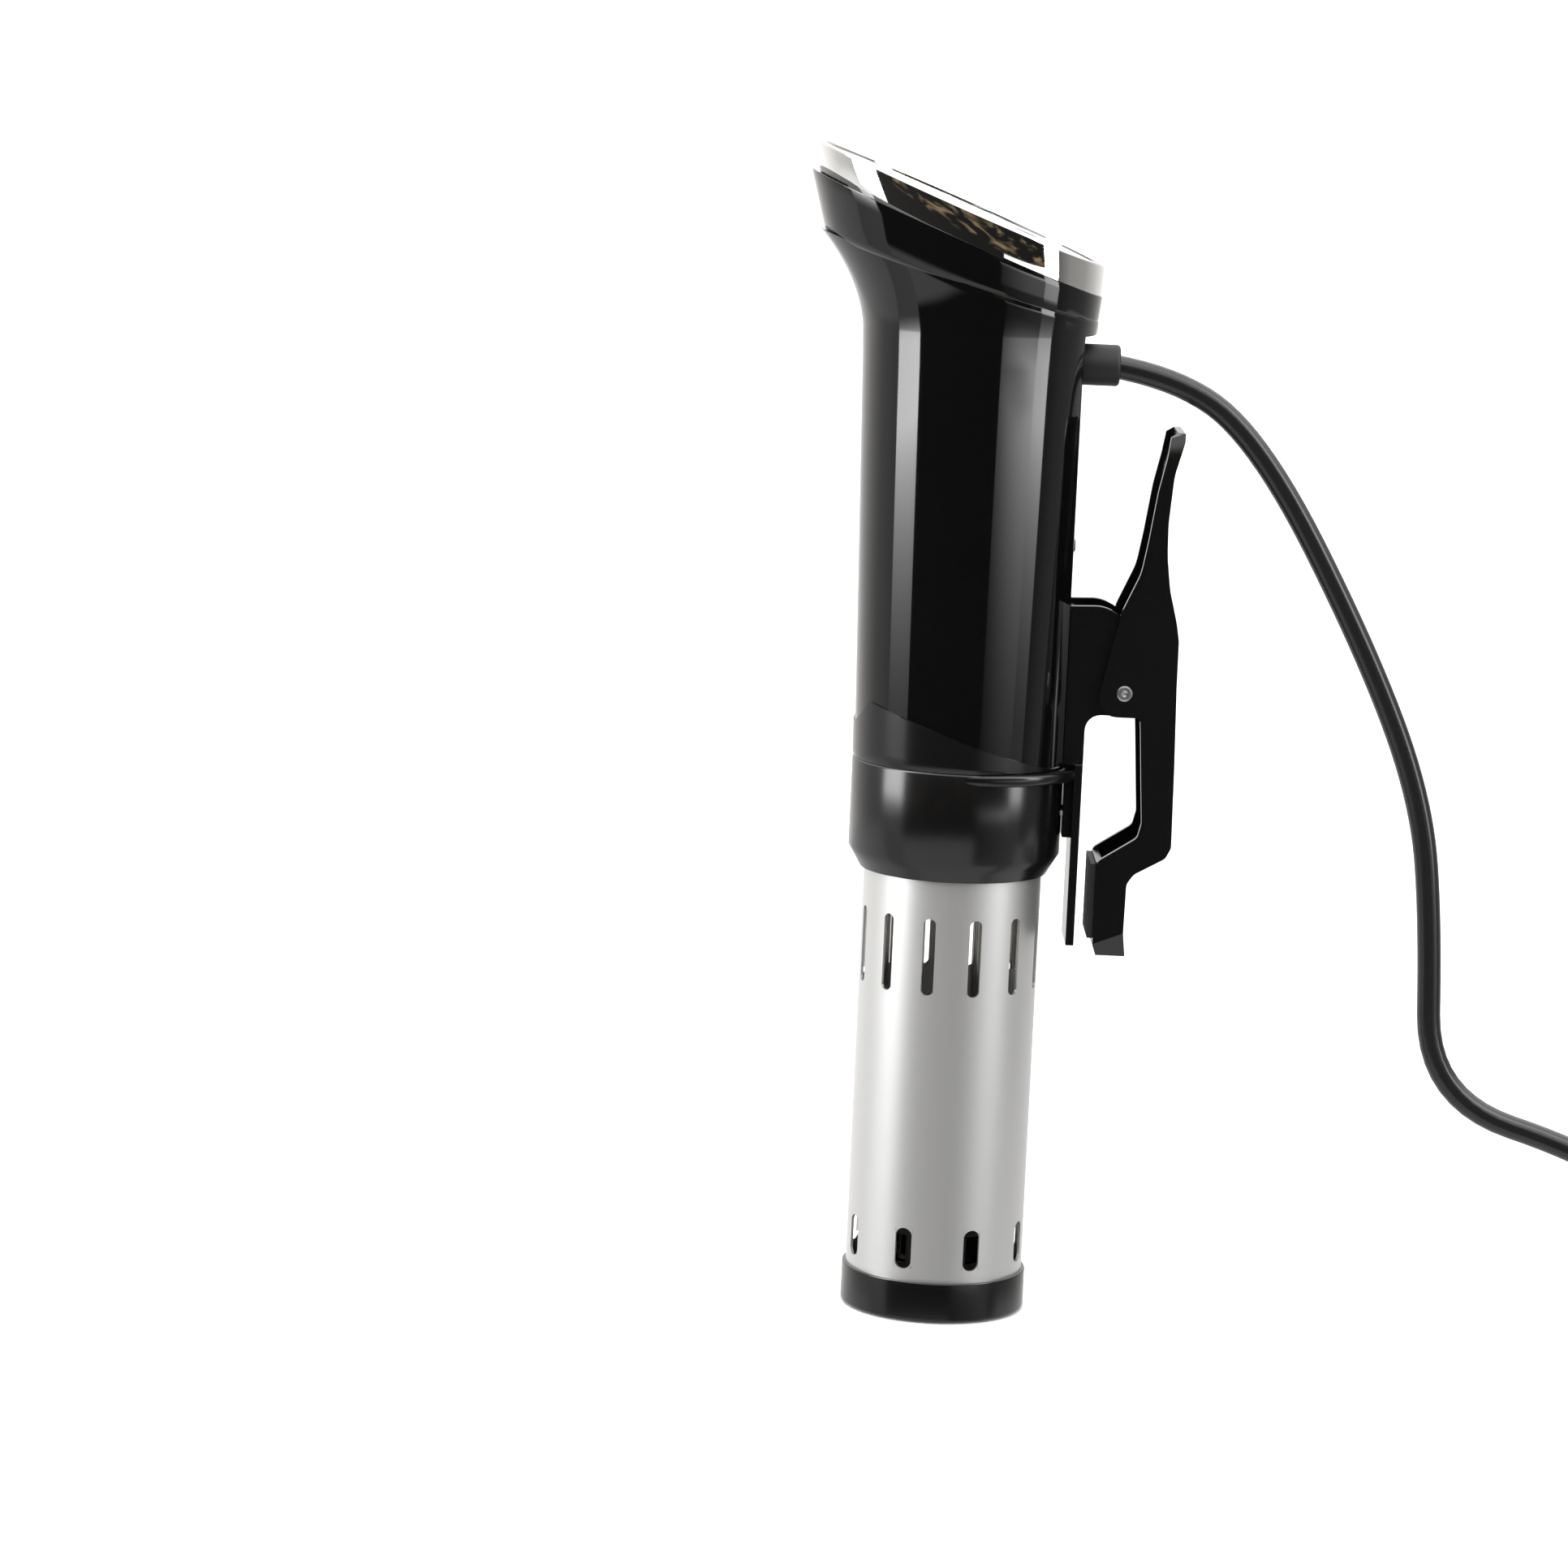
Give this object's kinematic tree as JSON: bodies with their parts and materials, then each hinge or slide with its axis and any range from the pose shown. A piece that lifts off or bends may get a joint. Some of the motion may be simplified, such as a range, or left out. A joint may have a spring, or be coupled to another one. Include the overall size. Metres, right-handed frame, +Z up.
{
  "type": "sous vide circulator",
  "caption": "Upright immersion circulator with a sloped chrome-edged head, tapered black tube, spring pot clamp, slotted steel skirt and mains cord.",
  "frame": {"origin": "centre of the foot cap's under face, on the tube's axis", "axes": "+Z up along the tube, +X from the tube towards the pot clamp, +Y across"},
  "size_m": [0.4557, 0.1091, 0.3942],
  "materials": {
    "panel_black": "gloss moulded panel",
    "smoked_window": "smoked clear window",
    "chrome": "bright chrome plate",
    "black_rubber": "matt rubber",
    "gloss_black": "high gloss moulded",
    "circuit_board": "solder mask",
    "aluminium": "extruded",
    "fan_plastic": "moulded",
    "motor_steel": "zinc plated can",
    "inner_plastic": "moulded glass filled",
    "screw_steel": "zinc plated",
    "stainless": "drawn and polished",
    "bush_brass": "turned",
    "satin_black": "fine satin moulded",
    "brushed_stainless": "brushed along the tube",
    "spring_steel": "spring wire",
    "relief_black": "matt moulded PVC",
    "cord_black": "glossy PVC jacket",
    "blade_brass": "nickel plated brass"
  },
  "bodies": {
    "housing": {"bezel_seal": "black_rubber", "bracket_screws": "screw_steel", "bulkhead": "inner_plastic", "chrome_bezel": "chrome", "clamp_bracket": "satin_black", "clamp_spring": "spring_steel", "collar": "satin_black", "control_panel": "panel_black", "cord_coil": "cord_black", "display_board": "circuit_board", "display_window": "smoked_window", "foot_cap": "satin_black", "front_shell": "gloss_black", "head_ring": "gloss_black", "heat_sink": "aluminium", "heater_loops": "stainless", "jaw_pad": "black_rubber", "level_rods": "stainless", "motor": "motor_steel", "motor_plate": "inner_plastic", "motor_screws": "screw_steel", "pivot_pin": "screw_steel", "plug_body": "relief_black", "plug_pins": "blade_brass", "power_board": "circuit_board", "power_cord": "cord_black", "pump_cup": "inner_plastic", "rear_spine": "gloss_black", "shaft_bush": "bush_brass", "shaft_seal": "black_rubber", "skirt_o_ring": "black_rubber", "skirt_tube": "brushed_stainless", "spine_screws": "screw_steel", "strain_relief": "relief_black", "temperature_probe": "stainless"},
    "lever": {"clamp_lever": "satin_black", "lever_pad": "black_rubber"},
    "rotor": {"drive_shaft": "stainless", "impeller": "fan_plastic", "cooling_fan": "fan_plastic"}
  },
  "joints": [
    {"name": "clamp_swing", "type": "hinge", "parent": "housing", "child": "lever", "pos_m": [0.0538, 0, 0.2146], "axis": [0, -1, 0], "range_deg": [-2.3, 18], "stiffness_Nm_per_rad": 1.2},
    {"name": "rotor_spin", "type": "hinge", "parent": "housing", "child": "rotor", "pos_m": [0, 0, 0.1], "axis": [0, 0, 1], "continuous": true}
  ]
}
